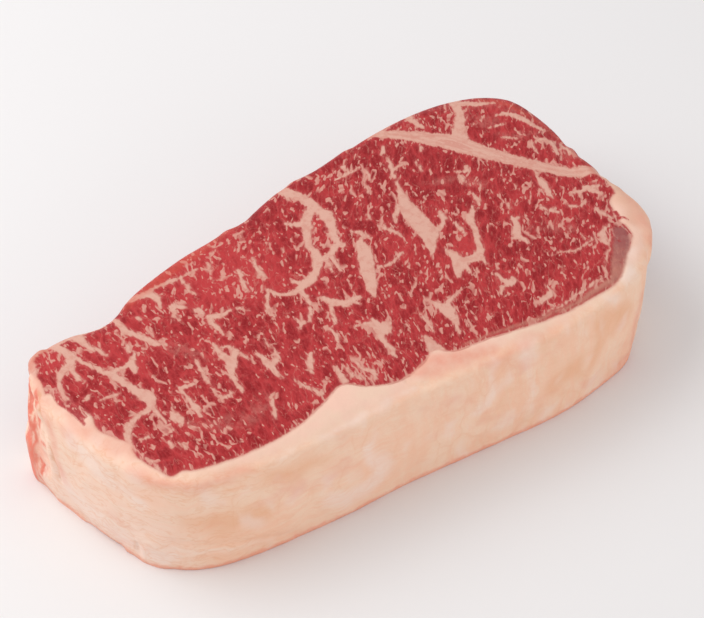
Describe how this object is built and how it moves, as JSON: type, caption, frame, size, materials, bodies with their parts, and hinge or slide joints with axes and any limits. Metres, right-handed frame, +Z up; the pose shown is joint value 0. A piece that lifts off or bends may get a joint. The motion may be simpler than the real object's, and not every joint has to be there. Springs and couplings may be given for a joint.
{
  "type": "boneless strip steak",
  "caption": "Thick-cut raw boneless beef strip steak: marbled lean with a small side muscle, a seam of fat and a fat cap along one side.",
  "frame": {"origin": "under the middle of the steak's bounding box, on the surface that it lies on", "axes": "+X along the fat cap towards the broad end with the side muscle, +Y from the fat cap towards the bare back edge, +Z up"},
  "size_m": [0.181, 0.1004, 0.033],
  "materials": {
    "lean": "moist raw beef with fine pale marbling, soft sheen",
    "fat": "firm pinkish cream fat, waxy with a soft sheen"
  },
  "bodies": {
    "root": {"lean_eye": "lean", "fat_cap": "fat", "side_muscle": "lean", "fat_seam": "fat"}
  },
  "joints": []
}
